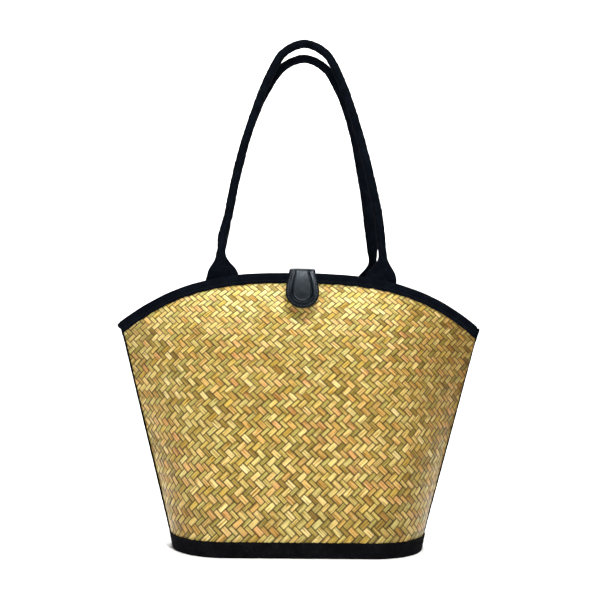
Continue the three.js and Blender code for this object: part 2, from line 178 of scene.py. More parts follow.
print("rim edge at the middle, mm:", on_wall(0.0, 1.0, 0.0).round(1))

# %% [markdown]
# ## How cloth and straw become meshes
# Cloth, tape, leather and straw are all sheets. Each starts as a flat grid made by bmesh, gets its
# thickness while it is still flat, and is then bent into place by one formula that moves all its
# points at once. The flat grid also gives a clean UV map, laid out in real lengths, for the weave.

# %% From a flat grid to a bent piece
COLLECTION = bpy.context.scene.collection


def finished(name, mesh, material, body="root", replaces=(), crease=42.0):
    mesh.materials.append(material)
    mesh.polygons.foreach_set("use_smooth", np.ones(len(mesh.polygons), bool))
    mesh.set_sharp_from_angle(angle=radians(crease))
    piece = bpy.data.objects.new(name, mesh)
    COLLECTION.objects.link(piece)
    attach(piece, body)
    if replaces:
        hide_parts(*replaces)
    print(name, len(mesh.polygons), "faces")
    return piece


def bent(maker, place, lay):
    """Turn a flat bmesh into a mesh, with place bending its points and lay making its UV map."""
    mesh = bpy.data.meshes.new("piece")
    maker.to_mesh(mesh)
    maker.free()
    flat = np.empty(len(mesh.vertices) * 3)
    mesh.vertices.foreach_get("co", flat)
    flat = flat.reshape(-1, 3)
    corner = np.empty(len(mesh.loops), int)
    mesh.loops.foreach_get("vertex_index", corner)
    layer = mesh.uv_layers.new(name="lay")
    layer.data.foreach_set("uv", lay(flat)[corner].astype(np.float32).ravel())
    mesh.vertices.foreach_set("co", (place(flat) * MM).astype(np.float32).ravel())
    tidier = bmesh.new()
    tidier.from_mesh(mesh)
    bmesh.ops.recalc_face_normals(tidier, faces=tidier.faces[:])
    tidier.to_mesh(mesh)
    tidier.free()
    mesh.update()
    return mesh


def grid_shares(maker):
    """What turns the points of a flat grid into shares along and across it."""
    full = 2 * max(v.co.x for v in maker.verts)
    return lambda flat: (flat[:, 0] / full + 0.5, flat[:, 1] / full + 0.5)


def sheet_lay(shares, length, width):
    """The UV map of a flat grid, in real lengths."""
    def lay(flat):
        u, v = shares(flat)
        return stack([u * length * MM, v * width * MM], axis=-1)
    return lay


def slab(along, across, place, length, width):
    """A sheet with a thickness: place(u, v, w) takes shares along, across and through it."""
    maker = bmesh.new()
    bmesh.ops.create_grid(maker, x_segments=along, y_segments=across, size=0.5)
    bmesh.ops.solidify(maker, geom=maker.faces[:], thickness=1.0)
    low = min(v.co.z for v in maker.verts)
    for v in maker.verts:
        v.co.z -= low
    shares = grid_shares(maker)
    return bent(maker, lambda flat: place(*shares(flat), flat[:, 2]), sheet_lay(shares, length, width))


# %% [markdown]
# ## Writing finishes as sums
# A procedural finish is a small calculation made for every point of a surface. The class below lets
# that calculation be written like ordinary Python: adding two values adds a Math node. Every other
# node comes from one method, which takes the node's type, its settings and its sockets.

# %% A finish and the values that flow through it
class Flow:
    """One value on its way through a finish."""

    def __init__(self, finish, socket):
        self.finish, self.socket = finish, socket

    def maths(self, operation, *values):
        return self.finish.add("ShaderNodeMath", {"operation": operation}, dict(enumerate(values)))

    def __add__(self, other): return self.maths("ADD", self, other)
    def __sub__(self, other): return self.maths("SUBTRACT", self, other)
    def __rsub__(self, other): return self.maths("SUBTRACT", other, self)
    def __mul__(self, other): return self.maths("MULTIPLY", self, other)
    def __truediv__(self, other): return self.maths("DIVIDE", self, other)
    def __abs__(self): return self.maths("ABSOLUTE", self)
    def floor(self): return self.maths("FLOOR", self)
    def sine(self): return self.maths("SINE", self)
    def least(self, other): return self.maths("MINIMUM", self, other)
    def most(self, other): return self.maths("MAXIMUM", self, other)

    def between(self, low, high, start=0.0, end=1.0):
        """Fade from start to end while the value goes from low to high."""
        return self.finish.add(
            "ShaderNodeMapRange", {"interpolation_type": "SMOOTHSTEP", "clamp": True},
            {"Value": self, "From Min": low, "From Max": high, "To Min": start, "To Max": end})


class Finish:
    """A material whose nodes are added by calculation."""

    def __init__(self, name, **constants):
        self.material = bpy.data.materials.new(name)
        self.material.use_nodes = True
        self.tree = self.material.node_tree
        self.shader = self.tree.nodes["Principled BSDF"]
        for socket, value in constants.items():
            self.shader.inputs[socket.replace("_", " ")].default_value = value

    def add(self, kind, settings=None, sockets=None, out=0):
        node = self.tree.nodes.new(kind)
        for key, value in (settings or {}).items():
            if key == "stops":
                while len(node.color_ramp.elements) < len(value):
                    node.color_ramp.elements.new(0.5)
                for stop, (place, colour) in zip(node.color_ramp.elements, value):
                    stop.position, stop.color = place, (*colour, 1.0)
            else:
                setattr(node, key, value)
        for key, value in (sockets or {}).items():
            self.join(value, node.inputs[key])
        return Flow(self, node.outputs[out])

    def join(self, value, socket):
        if isinstance(value, Flow):
            self.tree.links.new(value.socket, socket)
        elif isinstance(value, tuple) and len(value) == 3 and socket.type == "RGBA":
            socket.default_value = (*value, 1.0)
        else:
            socket.default_value = value

    def lay(self):
        """The two lengths of the piece's own UV map."""
        return self.parts(self.add("ShaderNodeUVMap", {"uv_map": "lay"}), 0, 1)

    def parts(self, vector, *which):
        return [self.add("ShaderNodeSeparateXYZ", None, {0: vector}, out) for out in which]

    def own_place(self):
        """The object's own coordinates, in metres."""
        return self.add("ShaderNodeTexCoord", None, None, 3)

    def spot(self, x, y, z=0.0):
        return self.add("ShaderNodeCombineXYZ", None, {0: x, 1: y, 2: z})

    def noise(self, spot, scale=1.0, detail=3.0, roughness=0.5):
        return self.add("ShaderNodeTexNoise", None, {
            "Vector": spot, "Scale": scale, "Detail": detail, "Roughness": roughness})

    def grain(self, scale, detail=3.0, roughness=0.5, stretch=(1.0, 1.0, 1.0)):
        spot = self.add("ShaderNodeMapping", None, {"Vector": self.own_place(), "Scale": stretch})
        return self.noise(spot, scale, detail, roughness)

    def chance(self, value):
        return self.add("ShaderNodeTexWhiteNoise", {"noise_dimensions": "1D"}, {"W": value})

    def mix(self, share, first, second, blend="MIX"):
        return self.add("ShaderNodeMix", {"data_type": "RGBA", "blend_type": blend},
                        {0: share, 6: first, 7: second}, 2)

    def tinted(self, share, colour, tint):
        """The colour multiplied by a tint, as far as the share says."""
        return self.mix(share, colour, self.mix(1.0, colour, tint, "MULTIPLY"))

    def ramp(self, share, stops):
        return self.add("ShaderNodeValToRGB", {"stops": stops}, {0: share})

    def bump(self, height, distance, strength):
        return self.add("ShaderNodeBump", None, {
            "Height": height, "Distance": distance, "Strength": strength})

    def wear(self, colour, roughness, normal):
        for socket, value in (("Base Color", colour), ("Roughness", roughness), ("Normal", normal)):
            self.join(value, self.shader.inputs[socket])
        return self.material


# %% [markdown]
# ## Straw
# Each strip is split from a dried leaf: long fibres run along it, shade is painted along its edges,
# and no two strips have the same tint. The bag alternates wide pale strips with narrow greener ones.
# The UV map of a strip counts crossings along it and strips across, so the whole number of the second
# length is the strip's own number, which picks its tint, and the rest says how far a point is from its
# edge.

# %% The straw's finish
FLAT_WIDTH = 0.9  # of a strip while it is still flat; the rows of strips are 1 apart
FLOAT = 4  # crossings from the start of one float to the start of the next
# painted shade colours: in the slits, along the strips' edges, and where a float dives
SLIT_SHADE, SHADE, DIVE_SHADE = (0.09, 0.055, 0.016), (0.028, 0.016, 0.005), (0.036, 0.021, 0.006)


def straw_finish(name, wide_tints, narrow_tints, float_start, seed):
    finish = Finish(name, Specular_IOR_Level=0.26)
    along, across = finish.lay()
    number = (across + 0.5).floor()
    off_middle = (across - number) / (FLAT_WIDTH / 2)
    narrow = (number * 0.5 - (number * 0.5).floor()).between(0.2, 0.3)
    own = finish.chance(number + seed)
    drift = finish.noise(finish.spot(along * 0.11, number * 5.7 + seed), 1.0, 2.0)
    tint = (own * 0.62 + drift * 0.76 - 0.19).between(0.08, 0.92)
    colour = finish.mix(narrow, finish.ramp(tint, wide_tints), finish.ramp(tint, narrow_tints))
    # each float has its own age and its own painted light and shade, as if each took the light its own
    # way
    floats = (along + number - float_start) * (1 / FLOAT)
    float_number = floats.floor()
    phase = (floats - float_number) * FLOAT
    patch = finish.chance(float_number * 3.17 + number * 1.31 + seed)
    age_and_light = finish.ramp(patch, [
        (0.0, (0.58, 0.48, 0.35)), (0.2, (0.85, 0.80, 0.68)), (0.6, (1.0, 1.0, 1.0)),
        (1.0, (1.14, 1.16, 1.24))])
    colour = finish.tinted(0.75, colour, age_and_light)
    # long fibres: fine lines along the strip, some of them deep enough to be slits, which get painted
    # shade
    fibre = finish.noise(
        finish.spot(along * 0.22, off_middle * 1.7 + number * 9.1 + seed), 1.0, 5.0, 0.72)
    broad = finish.noise(finish.spot(along * 0.13, off_middle * 1.3 + number * 4.3 + seed), 1.0, 2.0)
    colour = finish.tinted(fibre.between(0.49, 0.58), colour, (0.50, 0.39, 0.20))
    # painted highlight on the broad streaks
    colour = finish.tinted(broad.between(0.52, 0.72) * 0.7, colour, (1.18, 1.20, 1.32))
    # painted shade browns the straw towards the side seams, most on the right and higher up; near the
    # rim a painted sheen makes it palest
    from_middle, height_up = finish.parts(finish.own_place(), 0, 2)
    outward = from_middle / (height_up * 0.24 + 0.139)  # 1 at the right seam, -1 at the left one
    seam_side_shade = (outward.between(0.30, 1.0) * height_up.between(0.05, 0.25, 0.55, 0.85)
            + (outward * -1).between(0.40, 1.0) * 0.28)
    colour = finish.tinted(seam_side_shade, colour, (0.42, 0.36, 0.26))
    colour = finish.tinted(height_up.between(0.21, 0.29), colour, (1.50, 1.62, 1.98))
    slit = fibre.between(0.61, 0.66) * broad.between(0.40, 0.52)
    colour = finish.mix(slit * 0.75, colour, SLIT_SHADE)
    # painted shade along the edges and where a float dives under its neighbour, and a painted
    # highlight just inside each edge
    edge = abs(off_middle).between(0.62, 0.86) * fibre.between(0.25, 0.60, 1.0, 0.7)
    lit = abs(off_middle).between(0.28, 0.55) * (1 - edge) * 0.45
    colour = finish.tinted(lit, colour, (1.25, 1.26, 1.44))
    dive = phase.least(FLOAT / 2 - phase).between(0.02, 0.30, 1.0, 0.0)
    colour = finish.mix(edge * 0.90, colour, SHADE)
    colour = finish.mix(dive * 0.85, colour, DIVE_SHADE)
    height = fibre * -0.6 + broad * 0.5 - slit * 0.8
    return finish.wear(colour, broad.between(0.3, 0.8, 0.36, 0.52), finish.bump(height, 0.00022, 0.8))


# place on the ramp and colour
PALE = [(0.0, (0.38, 0.281, 0.056)), (0.2, (0.57, 0.389, 0.068)), (0.42, (0.684, 0.525, 0.168)),
        (0.6, (0.513, 0.443, 0.136)), (0.8, (0.741, 0.579, 0.2)), (1.0, (0.646, 0.398, 0.112))]
GREEN = [(0.0, (0.361, 0.29, 0.06)), (0.3, (0.494, 0.425, 0.12)), (0.55, (0.589, 0.434, 0.092)),
         (0.8, (0.703, 0.561, 0.2)), (1.0, (0.589, 0.38, 0.084))]
TAN = [(0.0, (0.456, 0.29, 0.06)), (0.25, (0.627, 0.38, 0.1)), (0.45, (0.712, 0.552, 0.2)),
       (0.62, (0.646, 0.344, 0.116)), (0.82, (0.57, 0.462, 0.136)), (1.0, (0.779, 0.633, 0.272))]
OLIVE = [(0.0, (0.342, 0.235, 0.048)), (0.3, (0.513, 0.398, 0.096)), (0.6, (0.636, 0.48, 0.144)),
         (0.8, (0.57, 0.344, 0.092)), (1.0, (0.703, 0.561, 0.208))]
straw_rising = straw_finish("straw strips leaning right", PALE, GREEN, 0.0, 3.0)
straw_falling = straw_finish("straw strips leaning left", TAN, OLIVE, 2.0, 11.0)

# %% [markdown]
# ## Weaving the walls
# The weave is a twill: every strip passes over two and under two, and each next strip starts one
# crossing later, which draws level rows of slanting floats. A texture could fake it, but the crossing
# strips cast the small shadows that make straw look like straw, so every strip here is a real ribbon.
# All strips are laid side by side on a flat grid first. The lay of the weave is measured along the
# level lines of the wall, so that the strips keep their width wherever the wall curves.

# %% The wall unrolled
PITCH = array([  # share of the way up, mm between crossings along a level line, and up the wall
    [0.0, 5.92, 5.95], [0.1, 5.88, 5.82], [0.3, 5.76, 5.50], [0.5, 5.68, 5.32], [0.7, 5.54, 4.98],
    [0.85, 5.42, 4.50], [1.0, 5.30, 4.10]])
LEVEL_STEP = 2.0  # mm
levels = arange(0.0, RIM_CENTRE_HEIGHT + 3 * LEVEL_STEP, LEVEL_STEP)
level_shares = linspace(-1.0, 1.0, 241)
REACH = 236.0  # mm, more than the wall reaches from its middle anywhere
FOLD_START, FOLD_ROOM, FOLD_SOFTNESS = 1.0, 0.9, 2.5  # mm, how straw is folded away at a seam
SHARE_END = 0.9985
reach_grid = linspace(-REACH, REACH, int(2 * REACH) + 1)
share_table, level_end = [], []
for level in levels:
    line = wall_middle(level_shares, up_at_height(level_shares, np.full_like(level_shares, level)))
    reach = run_along(line)
    reach -= reach[-1] / 2
    level_end.append(reach[-1])
    share_table.append(interp(reach_grid, reach, level_shares))
share_table, level_end = array(share_table), array(level_end)
profile = wall_middle(zeros_like(levels), up_at_height(0.0, levels))
slant = run_along(profile)
pitch_across, pitch_up = (interp(slant / slant[-1], PITCH[:, 0], PITCH[:, n]) for n in (1, 2))
step_pitch = (pitch_up[1:] + pitch_up[:-1]) / 2
crossings_up = concatenate([[0.0], np.cumsum(np.diff(slant) / step_pitch)])


def wall_place(level_count, reach):
    """Shares of the wall for a height counted in crossings and a reach from the middle in mm."""
    z = interp(level_count, crossings_up, levels)
    # past the side seam the straw is folded away under the tape
    limit = interp(z, levels, level_end) - FOLD_START
    past = clip(np.abs(reach) - limit, 0, None)
    folded = FOLD_ROOM * (1 - exp(-past / FOLD_SOFTNESS))
    reach = np.sign(reach) * (np.minimum(np.abs(reach), limit) + folded)
    row = clip(z / LEVEL_STEP, 0, len(levels) - 1.001)
    column = clip(reach + REACH, 0, 2 * REACH - 0.001)
    r, c = row.astype(int), column.astype(int)
    fr, fc = row - r, column - c
    near = share_table[r, c] * (1 - fc) + share_table[r, c + 1] * fc
    far = share_table[r + 1, c] * (1 - fc) + share_table[r + 1, c + 1] * fc
    share = clip(near * (1 - fr) + far * fr, -SHARE_END, SHARE_END)
    return share, up_at_height(share, z), z


class WallLay:
    """Where the weave lies on the front wall, and which crossings are on it."""
    past_seam, below_rim, above_foot = 3.5, 4.5, 0.15  # mm, mm and crossings

    def shares(self, rising, falling):
        level_count = (rising + falling) / sqrt(2)
        here = interp(level_count, crossings_up, pitch_across)
        return level_count, (rising - falling) / sqrt(2) * here

    def inside(self, rising, falling):
        level_count, reach = self.shares(rising, falling)
        share, up, z = wall_place(level_count, reach)
        end = interp(z, levels, level_end)
        top = 1 - self.below_rim * up_per_millimetre(share)
        return (np.abs(reach) < end + self.past_seam) & (up < top) & (level_count > self.above_foot)

    def place(self, rising, falling, out):
        share, up, _ = wall_place(*self.shares(rising, falling))
        return on_wall(share, clip(up, 0.001, 0.99), out)


class BaseLay:
    """The same weave flat on the oval base."""
    pitch, inset = 5.8, 5.5  # mm

    def flat(self, rising, falling):
        return tuple(n / sqrt(2) * self.pitch for n in (rising - falling, rising + falling))

    def inside(self, rising, falling):
        x, y = self.flat(rising, falling)
        past = clip(np.abs(x) - STRAIGHT_HALF, 0, None)
        return hypot(past, y) < END_RADIUS - self.inset

    def place(self, rising, falling, out):
        x, y = self.flat(rising, falling)
        return stack([x, y, FOOT + STRAW / 2 - out], axis=-1)


# %% The strips and how they pass over and under
WIDE_FOOT, WIDE_RIM = 0.60, 0.53  # half width of a wide strip in crossings
COVER = 0.985  # share of its room that a strip fills
OVER, HALF_STRIP, CROWN = 0.31, 0.19, 0.13  # mm
SLIM, SWAY, LIFT, TILT = 0.09, 0.085, 0.10, 0.11  # how much strips differ; TILT in mm
SWAY_RATE, STEP_RISE = 0.35, 0.35
CELL_STEPS, STEP_PLACES = 3, [0.0, 0.20, 0.80]  # points along a strip between two crossings
FARTHEST, SLOTS, FIRST_SLOT, TILT_SLOTS = 75, 400, 150, 97  # numbers of strips and of their draws


def wide_half(total):
    """Half a wide strip's width where the numbers of the crossing strips add up to total."""
    return mix(WIDE_FOOT, WIDE_RIM, clamp(total / sqrt(2) / crossings_up[-1]))


def crossing_edge(number, total):
    """The line between a strip and the next one."""
    return number + 0.5 + where(number % 2 == 0, 1, -1) * (wide_half(total) - 0.5)


def weave(lay, rising_family, side, seed):
    """All strips of one direction as one mesh."""
    span = arange(-FARTHEST, FARTHEST + 1)
    here, other = np.meshgrid(span, span, indexing="ij")  # own number, crossing number
    centre = (other, here) if rising_family else (here, other)
    on = lay.inside(centre[0].astype(float), centre[1].astype(float))
    maker = bmesh.new()
    for row, number in zip(on, span):
        crossed = span[row]
        if len(crossed) < 2:
            continue
        first, count = crossed[0], crossed[-1] - crossed[0] + 1
        frame_at = Matrix.Translation((first + count / 2, number, 0)) @ Matrix.Diagonal(
            (count, FLAT_WIDTH, 1, 1))
        bmesh.ops.create_grid(maker, x_segments=int(count) * CELL_STEPS, y_segments=2, size=0.5,
                              matrix=frame_at)
    bmesh.ops.solidify(maker, geom=maker.faces[:], thickness=1.0)
    chance = np.random.default_rng(seed)
    slim = 1 - SLIM * chance.random(SLOTS)
    sway, sway_phase = SWAY * chance.random(SLOTS), ANY_PHASE * chance.random(SLOTS)
    lift = LIFT * (chance.random(SLOTS) - 0.5)
    tilt = TILT * chance.normal(size=(SLOTS, TILT_SLOTS))  # from the middle of a float to its edge

    def place(flat):
        number = np.round(flat[:, 1])
        own = number.astype(int) + FIRST_SLOT
        across = (flat[:, 1] - number) / (FLAT_WIDTH / 2)
        count = np.round(flat[:, 0] * CELL_STEPS) / CELL_STEPS
        cell = np.floor(count + 1e-6)
        part = np.round((count - cell) * CELL_STEPS).astype(int)
        total = cell + number
        low, high = crossing_edge(cell - 1, total - 0.5), crossing_edge(cell, total + 0.5)
        spot = low + (high - low) * np.choose(part, STEP_PLACES)
        direction = 1 if rising_family else -1
        over, before = (where(n % FLOAT < 2, 1.0, -1.0) * direction for n in (total, total - 1))
        # a strip stays high up to the edge of the one it goes under, and drops beneath it
        rise = OVER * where((part == 0) & (over != before), STEP_RISE, over) * (1 + lift[own])
        through = flat[:, 2] - flat[:, 2].min() - 0.5
        out = rise + through * 2 * HALF_STRIP + CROWN * (1 - across ** 2) * over
        out = out + tilt[own, np.floor(total / FLOAT).astype(int) % TILT_SLOTS] * across
        wide = wide_half(spot + number)
        half = where(number % 2 == 0, wide, 1 - wide) * COVER * slim[own]
        sideways = (number + across * half
                    + sway[own] * sin(spot * SWAY_RATE + sway_phase[own]))
        rising, falling = (spot, sideways) if rising_family else (sideways, spot)
        return on_side(lay.place(rising, falling, out), side)

    return bent(maker, place, lambda flat: flat[:, :2])


# %% Weave both walls and the base
for lay, side, name, node, seed in (
        (WallLay(), 1, "front", "straw_wall_front", 5), (WallLay(), -1, "back", "straw_wall_back", 17),
        (BaseLay(), 1, "base", "straw_base", 29)):
    for rising, lean, straw in ((True, "rising", straw_rising), (False, "falling", straw_falling)):
        finished(f"straw_{name}_{lean}", weave(lay, rising, side, seed + rising), straw,
                 replaces=(node,), crease=60)

# %% [markdown]
# ## Black cloth, webbing, leather and metal
# The cloth is a plain canvas: two sets of threads that cross, a little lighter where rubbing has worn
# them, and with painted highlights on the slubs and thread crowns. The webbing has ribs across it,
# which are modelled, and only its threads are in the finish.
# The leather is smooth and blue-black, with a fine grain and a soft shine.

# %% Finishes of the soft parts
THREAD = 0.00045  # metres from one thread of the cloth to the next


def canvas_finish(name, base, rubbed_and_lit, seed):
    finish = Finish(name, Specular_IOR_Level=0.03)
    along, across = finish.lay()
    warp, weft = ((n * (2 * pi / THREAD)).sine() for n in (along, across))
    threads = warp * weft * 0.5 + 0.5
    slub = finish.noise(finish.spot(along * 260, across * 1300, seed), 1.0, 3.0)
    cross_slub = finish.noise(finish.spot(along * 1300, across * 260, seed + 4.0), 1.0, 3.0)
    flecks = slub.most(cross_slub).between(0.52, 0.74)
    rub = finish.grain(90.0, 4.0, 0.6)
    # painted highlights on the slubs and thread crowns, stronger where the cloth is rubbed
    light = (flecks * 0.55 + threads * 0.25) * rub.between(0.35, 0.7)
    height = threads * 0.5 + flecks * 0.7
    return finish.wear(finish.mix(light, base, rubbed_and_lit), rub.between(0.3, 0.7, 0.78, 0.92),
                       finish.bump(height, 0.00012, 0.7))


canvas = canvas_finish("black canvas", (0.0011, 0.0019, 0.0040), (0.011, 0.016, 0.027), 1.0)
webbing = canvas_finish("black webbing", (0.0025, 0.0026, 0.0034), (0.018, 0.0185, 0.022), 7.0)


def thread_finish(name, base, lit, shine):
    finish = Finish(name, Specular_IOR_Level=shine)
    twist = finish.grain(2600.0, 2.0, 0.5, (1.0, 1.0, 2.5))
    return finish.wear(finish.mix(twist.between(0.4, 0.65), base, lit),
                       twist.between(0.3, 0.7, 0.5, 0.65), finish.bump(twist, 0.0001, 0.8))


thread = thread_finish("black thread", (0.0035, 0.0045, 0.0070), (0.018, 0.022, 0.030), 0.06)
# the tab's thread is painted paler than the rim's, as a painted highlight on its stitches
waxed = thread_finish("waxed thread", (0.022, 0.027, 0.036), (0.065, 0.076, 0.095), 0.3)

hide = Finish("blue-black leather", Specular_IOR_Level=0.09, Specular_Tint=(0.74, 0.87, 1.0, 1.0))
pores = hide.add("ShaderNodeTexVoronoi", {"feature": "DISTANCE_TO_EDGE"}, {
    "Vector": hide.own_place(), "Scale": 1500.0})
clouds = hide.grain(60.0, 4.0, 0.55)
leather = hide.wear(
    hide.mix(clouds.between(0.35, 0.7), (0.0016, 0.0028, 0.0046), (0.0050, 0.0075, 0.011)),
    clouds.between(0.3, 0.7, 0.15, 0.24),
    hide.bump(pores.between(0.0, 0.35) + clouds * 0.6, 0.00005, 0.6))

plate = Finish("nickel", Metallic=1.0)
scuffs = plate.grain(900.0, 3.0, 0.6, (1.0, 1.0, 0.2))
nickel = plate.wear(plate.mix(scuffs, (0.50, 0.48, 0.44), (0.70, 0.68, 0.64)),
                    scuffs.between(0.3, 0.7, 0.22, 0.42), plate.bump(scuffs, 0.00003, 0.5))

# %% [markdown]
# ## Rim bindings
# A strip of canvas is folded over the cut edge of the straw and sewn through near its lower edge.
# The stitches pull the cloth in, so it swells a little between them. The sheet is bent round the
# rim by the wall's own formula, and the pull of each stitch is part of the bend.

# %% Bind both rims
STITCH_PITCH, STITCH_DOWN = 3.7, 7.8
STITCH_LENGTH, STITCH_THICK, TAB_STITCH_THICK = 2.6, 0.75, 1.0
fine_shares = linspace(-1, 1, 2001)
rim_line = wall_middle(fine_shares, ones_like(fine_shares))
rim_run = run_along(rim_line)
RIM_LENGTH = rim_run[-1]


def pull_at(run, pitch):
    """How hard the stitches pull: 1 in the middle of a stitch, 0 halfway to the next."""
    return 0.5 + 0.5 * cos(run / pitch * 2 * pi)


def share_at_run(run):
    return interp(run, rim_run, fine_shares)


INNER = STRAW / 2 + 0.15
LEG, ROUND = BINDING_WIDTH + 0.3, pi * INNER
END_ROUND = 5.0  # the binding's right upper corner is rounded off


def fold_place(run, path, through, swell):
    """A point of the binding: run along the rim, path over the fold, through the cloth."""
    share = share_at_run(run)
    per = up_per_millimetre(share)
    radius = INNER + through * (BINDING + swell)
    turn = clamp((path - LEG) / ROUND) * pi
    down = where(path < LEG, LEG - path, clip(path - LEG - ROUND, 0, None))
    rise = where((turn > 0) & (turn < pi), radius * sin(turn), -down)
    corner = clamp(1 - (RIM_LENGTH - run) / END_ROUND)
    rise = rise - END_ROUND * round_off(corner) * clamp(1 - down / LEG)
    return on_wall(share, 1 + rise * per, radius * cos(turn))


def binding_place(side):
    def place(u, v, w):
        run = u * RIM_LENGTH
        path = v * (2 * LEG + ROUND)
        down = where(path < LEG + ROUND / 2, LEG - path, path - LEG - ROUND)
        stitch = hill(down, STITCH_DOWN, 1.3)
        pull = pull_at(run, STITCH_PITCH)
        edge = clamp((LEG - down) / 1.2) ** 0.5
        puff = 0.42 * hill(down, 3.4, 2.6) + 0.25 * hill(down, 10.2, 0.9)
        wander = 0.16 * sin(run * 0.083 + 1.3 * side) + 0.12 * sin(run * 0.21 + side)
        swell = (puff + wander * 0.6 - stitch * (0.20 + 0.34 * pull)) * w
        swell = where(w > 0.5, swell - (1 - edge) * 0.8, 0)
        path = path + where(v < 0.02, 0.25 * sin(run * 0.31 + side), 0)
        return on_side(fold_place(run, path, w, swell), side)
    return place


for side, name in SIDES:
    cloth = slab(460, 30, binding_place(side), RIM_LENGTH, 2 * LEG + ROUND)
    finished(f"binding_{name}", cloth, canvas, replaces=(f"rim_binding_{name}",))

# %% [markdown]
# ## Stitches
# A lockstitch shows as a row of short raised dashes. Each is a small rounded bead, stretched along
# the seam and half sunk in the cloth, and one seam is one mesh.

# %% A seam from a row of points
def seam(name, points, directions, normals, length, thick, material):
    maker = bmesh.new()
    for point, ahead, normal in zip(points, unit(directions), unit(normals)):
        sideways = cross(normal, ahead)
        columns = [ahead * length / 2, sideways * thick / 2, normal * thick / 2, point]
        frame_at = Matrix([*stack(columns, axis=-1).tolist(), (0, 0, 0, 1)])
        bmesh.ops.create_uvsphere(maker, u_segments=7, v_segments=5, radius=1.0,
                                  matrix=frame_at @ Matrix.Rotation(pi / 2, 4, "Y"))
    bmesh.ops.scale(maker, vec=(MM, MM, MM), verts=maker.verts[:])
    bmesh.ops.recalc_face_normals(maker, faces=maker.faces[:])
    mesh = bpy.data.meshes.new(name)
    maker.to_mesh(mesh)
    maker.free()
    finished(name, mesh, material, crease=180)


SEAM_END, SUNK = 4.0, 0.05  # mm, a seam's first stitch from its end, and its beads in the cloth


def rim_seam(side, inner):
    share = share_at_run(arange(SEAM_END, RIM_LENGTH - SEAM_END, STITCH_PITCH))
    facing = -1 if inner else 1

    def place(share):
        up = 1 - STITCH_DOWN * up_per_millimetre(share)
        return on_wall(share, up, facing * (INNER + BINDING - SUNK)), wall_normal(share, up) * facing

    points, normals = place(share)
    ahead = place(share + 2 * NUDGE)[0] - points
    return [on_side(part, side) for part in (points, ahead, normals)]


for side, name in SIDES:
    for inner, prefix in ((False, "rim_stitches_"), (True, "rim_stitches_inside_")):
        seam(prefix + name, *rim_seam(side, inner), STITCH_LENGTH, STITCH_THICK, thread)

# %% [markdown]
# ## Side tapes
# A narrow tape runs up each side seam, over the ends of the two walls, and ends in a small stub
# above the rim. It is a sheet that leaves the front wall, turns round the seam in an arc, and lands
# on the back wall.

# %% Tape the seams
CLIMB_FROM, CLIMB = 0.93, 0.025  # shares of the seam, where the tape climbs over the bindings
KNOB_UP, KNOB_HALF, CLOSE_FROM = 0.989, 0.014, 0.996


def tape_gap(up):
    climb = clamp((up - CLIMB_FROM) / CLIMB)
    climb = climb * climb * (3 - 2 * climb)
    return STRAW / 2 + 0.15 + climb * (BINDING + 0.25)


TAPE_LOW, TAPE_HIGH = up_at_height(1.0, BAND_HEIGHT - 1.0), 1.006
LAP = 0.2  # share of the tape's width that lies on each wall


def tape_place(mirror):
    def place(u, v, w):
        up = TAPE_LOW + (TAPE_HIGH - TAPE_LOW) * u
        one = ones_like(up)
        fat = mirror < 0  # the left tape shows, the right one is tucked in
        soft = clamp(np.minimum(v, 1 - v) / 0.04) ** 0.5
        ripple = 0.07 * sin(up * 260) + 0.06 * sin(up * 97)
        gap = tape_gap(up) + w * (0.3 + (TAPE - 0.3 + ripple) * soft)
        lap = (TAPE_WIDTH if fat else TAPE_WIDTH * 0.35) / wall_middle(one, up)[:, 0]
        side_part = clamp(1 - v / LAP) + clamp(1 - (1 - v) / LAP)
        side = where(v > 0.5, -1, 1)
        flat_part = on_wall(1 - lap * side_part, up, gap) * stack([one, side, one], axis=-1)
        end = on_wall(one, up, gap)
        normal = wall_normal(one, up)
        radius = end[:, 1] / normal[:, 1]
        widest = np.arctan2(-normal[:, 1], normal[:, 0])
        turn = widest * (1 - 2 * clamp((v - LAP) / (1 - 2 * LAP)))
        roundness = (cos(turn) - cos(widest)) / (1 - cos(widest))
        bulge = TAPE_BULGE + w * (TAPE + ripple) * (1 - np.abs(normal[:, 0]))
        # the end is folded over into a small knob, a fatter one on the left
        knob = (3.0 if fat else 0.8) * sqrt(clamp(1 - ((up - KNOB_UP) / KNOB_HALF) ** 2))
        close = sqrt(1 - 0.96 * clamp((up - CLOSE_FROM) / (TAPE_HIGH - CLOSE_FROM)) ** 2)
        bulge = (bulge * (1 if fat else 0.6) + knob) * close
        arc = stack([end[:, 0] + bulge * roundness, -radius * sin(turn), end[:, 2]], axis=-1)
        points = where(((v < LAP) | (v > 1 - LAP))[:, None], flat_part, arc)
        return points * array([mirror, 1.0, 1.0])
    return place


for mirror, name in ((-1, "left"), (1, "right")):
    cloth = slab(300, 16, tape_place(mirror), 250.0, 18.0)
    finished(f"tape_{name}", cloth, canvas, replaces=(f"seam_tape_{name}",))

# %% [markdown]
# ## Webbing round the foot
# The foot is bound with webbing whose ribs stand upright and can be counted in a close view. They
# are modelled: the outer face of the sheet swells and sinks once for every rib as it goes round.

# %% Bind the foot
RIB, RIB_SWELL, RIB_SINK = 2.05, 0.26, 0.18
band_shares = linspace(-1, 1, 1201)
band_line = on_wall(band_shares, up_at_height(band_shares, np.full_like(band_shares, 8.0)), STRAW / 2)
band_run = run_along(band_line[:, :2])
HALF_BAND = band_run[-1]
RIBS = int(2 * HALF_BAND / RIB)
SECTION = array([  # height and place from the middle of the straw, inside and then outside
    [16.2, 1.15, 16.2, 1.9], [15.6, 1.15, 15.6, 2.55], [14.4, 1.15, 14.4, 2.45],
    [8.0, 1.15, 8.0, 2.5], [3.0, 1.15, 3.0, 2.45], [1.8, 1.1, 1.2, 2.3], [1.3, 0.9, 0.3, 1.9],
    [1.1, -0.2, 0.0, 0.4], [1.1, -4.0, 0.0, -4.0], [1.1, -BAND_LIP, 0.0, -BAND_LIP]])


